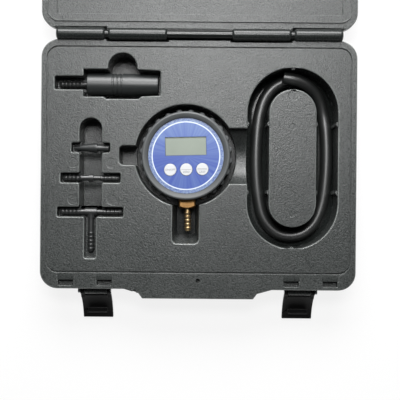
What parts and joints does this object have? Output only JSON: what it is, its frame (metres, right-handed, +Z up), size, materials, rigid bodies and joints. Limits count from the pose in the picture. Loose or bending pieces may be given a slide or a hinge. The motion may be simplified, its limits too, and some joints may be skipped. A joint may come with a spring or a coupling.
{
  "type": "fuel pressure tester",
  "caption": "Fuel pressure tester kit: a round digital gauge with a brass hose barb, a fuel hose, a coupler and barbed adaptors in an open hinged carrying case.",
  "frame": {"origin": "centre of the case base's underside, which lies on the bench", "axes": "+Z up, +Y from the handle towards the hinge and the open lid, +X to the right as seen from the handle"},
  "size_m": [0.285, 0.4987, 0.0458],
  "materials": {
    "case_plastic": "fine moulded grain",
    "latch_plastic": "satin",
    "hinge_rod": "satin",
    "steel": "plated",
    "boot_rubber": "matt",
    "housing_plastic": "satin",
    "face_print": "printed film",
    "display_glass": "clear",
    "display_module": "satin",
    "key_plastic": "satin",
    "switch_plastic": "satin",
    "board_laminate": "solder mask",
    "ribbon_film": "film",
    "seal_rubber": "matt",
    "brass": "turned",
    "washer_fibre": "matt",
    "cell_jacket": "gloss",
    "hose_rubber": "satin",
    "fitting_plastic": "satin"
  },
  "bodies": {
    "case": {"case_base": "case_plastic", "hinge_pin": "hinge_rod", "left_latch_pin": "steel", "right_latch_pin": "steel"},
    "lid": {"case_lid": "case_plastic"},
    "latch_left": {"left_latch": "latch_plastic"},
    "latch_right": {"right_latch": "latch_plastic"},
    "gauge": {"gauge_boot": "boot_rubber", "gauge_housing": "housing_plastic", "face_plate": "housing_plastic", "face_label": "face_print", "lcd_window": "display_glass", "lcd_module": "display_module", "key_switches": "switch_plastic", "circuit_board": "board_laminate", "pressure_sensor": "steel", "sensor_ribbon": "ribbon_film", "sensor_seal": "seal_rubber", "brass_stem": "brass", "stem_washer": "washer_fibre", "battery_cells": "cell_jacket", "battery_contacts": "steel", "battery_cover": "housing_plastic", "cover_screw": "steel", "housing_screws": "steel"},
    "power_key": {"key_power": "key_plastic"},
    "zero_key": {"key_zero": "key_plastic"},
    "unit_key": {"key_unit": "key_plastic"},
    "hose": {"fuel_hose": "hose_rubber"},
    "coupler": {"coupler_body": "fitting_plastic", "coupler_stem": "fitting_plastic", "coupler_o_ring": "seal_rubber", "coupler_seal": "seal_rubber"},
    "taper": {"taper_adaptor": "fitting_plastic"},
    "straight": {"straight_connector": "fitting_plastic"},
    "tee": {"tee_connector": "fitting_plastic"}
  },
  "joints": [
    {"name": "lid_hinge", "type": "hinge", "parent": "case", "child": "lid", "pos_m": [0, 0.1173, 0.0402], "axis": [1, 0, 0], "range_deg": [0, 180]},
    {"name": "left_latch_hinge", "type": "hinge", "parent": "case", "child": "latch_left", "pos_m": [-0.0935, -0.1155, 0.026], "axis": [-1, 0, 0], "range_deg": [0, 130]},
    {"name": "right_latch_hinge", "type": "hinge", "parent": "case", "child": "latch_right", "pos_m": [0.0935, -0.1155, 0.026], "axis": [-1, 0, 0], "range_deg": [0, 130]},
    {"name": "gauge_lift", "type": "slide", "parent": "case", "child": "gauge", "axis": [0, 0, -1], "range_m": [-0.06, 0]},
    {"name": "hose_lift", "type": "slide", "parent": "case", "child": "hose", "axis": [0, 0, -1], "range_m": [-0.06, 0]},
    {"name": "coupler_lift", "type": "slide", "parent": "case", "child": "coupler", "axis": [0, 0, -1], "range_m": [-0.06, 0]},
    {"name": "taper_lift", "type": "slide", "parent": "case", "child": "taper", "axis": [0, 0, -1], "range_m": [-0.06, 0]},
    {"name": "straight_lift", "type": "slide", "parent": "case", "child": "straight", "axis": [0, 0, -1], "range_m": [-0.06, 0]},
    {"name": "tee_lift", "type": "slide", "parent": "case", "child": "tee", "axis": [0, 0, -1], "range_m": [-0.06, 0]},
    {"name": "power_key_press", "type": "slide", "parent": "gauge", "child": "power_key", "axis": [0, 0, -1], "range_m": [0, 0.0006], "stiffness_N_per_m": 400},
    {"name": "zero_key_press", "type": "slide", "parent": "gauge", "child": "zero_key", "axis": [0, 0, -1], "range_m": [0, 0.0006], "stiffness_N_per_m": 400},
    {"name": "unit_key_press", "type": "slide", "parent": "gauge", "child": "unit_key", "axis": [0, 0, -1], "range_m": [0, 0.0006], "stiffness_N_per_m": 400}
  ]
}
